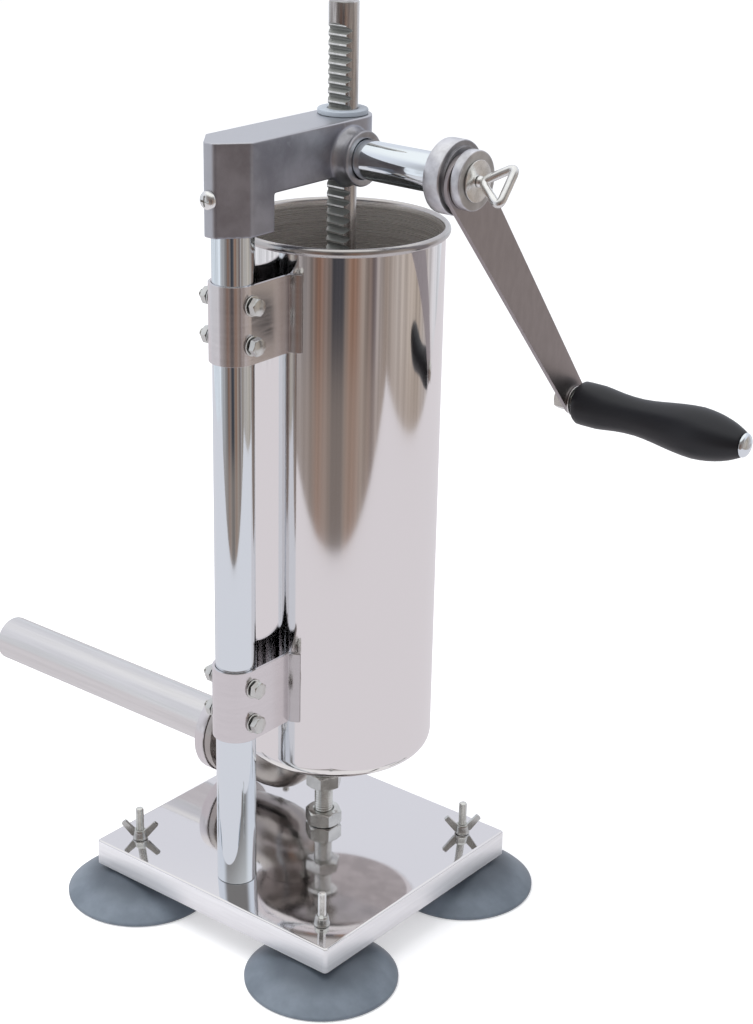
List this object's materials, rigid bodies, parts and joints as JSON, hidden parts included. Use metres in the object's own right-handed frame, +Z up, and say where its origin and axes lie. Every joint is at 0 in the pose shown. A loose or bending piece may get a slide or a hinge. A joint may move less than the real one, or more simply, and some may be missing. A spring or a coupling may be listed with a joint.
{
  "type": "sausage stuffer",
  "caption": "Hand-cranked vertical sausage stuffer: crank and pinion drive a toothed rack and piston down an open steel barrel that empties through an elbow and filling tube.",
  "frame": {"origin": "centre of the bounding box in plan, at the level of the cup rims that stand on the table", "axes": "+Z up along the rack, +X from the filling tube towards the crank, +Y from the column towards the barrel"},
  "size_m": [0.61, 0.3132, 0.6495],
  "materials": {
    "bearing_plastic": "black bearing plastic",
    "brushed_steel": "brushed stainless steel",
    "cast_aluminium": "raw casting",
    "chrome": "bright chrome plating",
    "cup_rubber": "satin blue grey rubber",
    "grip_plastic": "black satin plastic",
    "mirror_steel": "mirror polished stainless steel",
    "nylon": "pale translucent nylon",
    "rack_steel": "machined steel",
    "satin_steel": "satin stainless sheet",
    "seal_rubber": "pale food grade rubber",
    "turned_aluminium": "turned, bright",
    "zinc": "zinc plated steel"
  },
  "bodies": {
    "stand": {"barrel": "mirror_steel", "base_plate": "mirror_steel", "bearing_collar": "turned_aluminium", "clamp_bolt_lower_bottom": "zinc", "clamp_bolt_lower_top": "zinc", "clamp_bolt_upper_bottom": "zinc", "clamp_bolt_upper_top": "zinc", "clamp_lower": "satin_steel", "clamp_nut_lower_bottom": "zinc", "clamp_nut_lower_top": "zinc", "clamp_nut_upper_bottom": "zinc", "clamp_nut_upper_top": "zinc", "clamp_upper": "satin_steel", "collar_bush": "bearing_plastic", "column_bolt": "zinc", "column_plug": "satin_steel", "column_tube": "chrome", "column_washer": "zinc", "cup_stud_back_left": "zinc", "cup_stud_back_right": "zinc", "cup_stud_front_left": "zinc", "cup_stud_front_right": "zinc", "guide_bush": "nylon", "head_casting": "cast_aluminium", "head_screw": "zinc", "journal_bush": "bearing_plastic", "nozzle": "brushed_steel", "outlet_elbow": "mirror_steel", "outlet_gasket": "seal_rubber", "sleeve_tube": "chrome", "suction_cup_back_left": "cup_rubber", "suction_cup_back_right": "cup_rubber", "suction_cup_front_left": "cup_rubber", "suction_cup_front_right": "cup_rubber", "support_jam_nut": "zinc", "support_nut": "zinc", "support_stud": "zinc", "support_under_nut": "zinc"},
    "rack": {"rack_rod": "rack_steel", "piston_disc": "nylon", "piston_screw": "zinc", "piston_seal": "seal_rubber"},
    "crank": {"pinion_shaft": "rack_steel", "crank_hub": "turned_aluminium", "crank_arm": "satin_steel", "hub_washer": "zinc", "grip_washer": "zinc", "grip_spindle": "zinc", "spindle_nut": "zinc", "grip_cap": "chrome"},
    "grip": {"grip": "grip_plastic"},
    "thumb_screw": {"thumb_screw": "zinc"},
    "union_nut": {"union_nut": "satin_steel"},
    "wing_nut_front_left": {"wing_nut_front_left": "zinc"},
    "wing_nut_front_right": {"wing_nut_front_right": "zinc"},
    "wing_nut_back_right": {"wing_nut_back_right": "zinc"},
    "wing_nut_back_left": {"wing_nut_back_left": "zinc"}
  },
  "joints": [
    {"name": "rack_slide", "type": "slide", "parent": "stand", "child": "rack", "axis": [0, 0, 1], "range_m": [-0.058, 0.33]},
    {"name": "crank_turn", "type": "hinge", "parent": "stand", "child": "crank", "pos_m": [0.04945, -0.00008, 0.5525], "axis": [1, 0, 0], "range_deg": [-334, 1892]},
    {"name": "grip_spin", "type": "hinge", "parent": "crank", "child": "grip", "pos_m": [0.04945, 0.13838, 0.3701], "axis": [1, 0, 0], "continuous": true},
    {"name": "thumb_screw_turn", "type": "hinge", "parent": "crank", "child": "thumb_screw", "pos_m": [0.04945, -0.00008, 0.5525], "axis": [1, 0, 0], "continuous": true},
    {"name": "union_nut_turn", "type": "hinge", "parent": "stand", "child": "union_nut", "pos_m": [0.04945, 0.01492, 0.081], "axis": [1, 0, 0], "continuous": true},
    {"name": "wing_nut_front_left_turn", "type": "hinge", "parent": "stand", "child": "wing_nut_front_left", "pos_m": [-0.03865, -0.10258, 0.0425], "axis": [0, 0, 1], "continuous": true},
    {"name": "wing_nut_front_right_turn", "type": "hinge", "parent": "stand", "child": "wing_nut_front_right", "pos_m": [0.13755, -0.10258, 0.0425], "axis": [0, 0, 1], "continuous": true},
    {"name": "wing_nut_back_right_turn", "type": "hinge", "parent": "stand", "child": "wing_nut_back_right", "pos_m": [0.13755, 0.05962, 0.0425], "axis": [0, 0, 1], "continuous": true},
    {"name": "wing_nut_back_left_turn", "type": "hinge", "parent": "stand", "child": "wing_nut_back_left", "pos_m": [-0.03865, 0.05962, 0.0425], "axis": [0, 0, 1], "continuous": true}
  ],
  "couplings": [
    {"joint": "crank_turn", "follows": "rack_slide", "rad_per_m": 100}
  ]
}
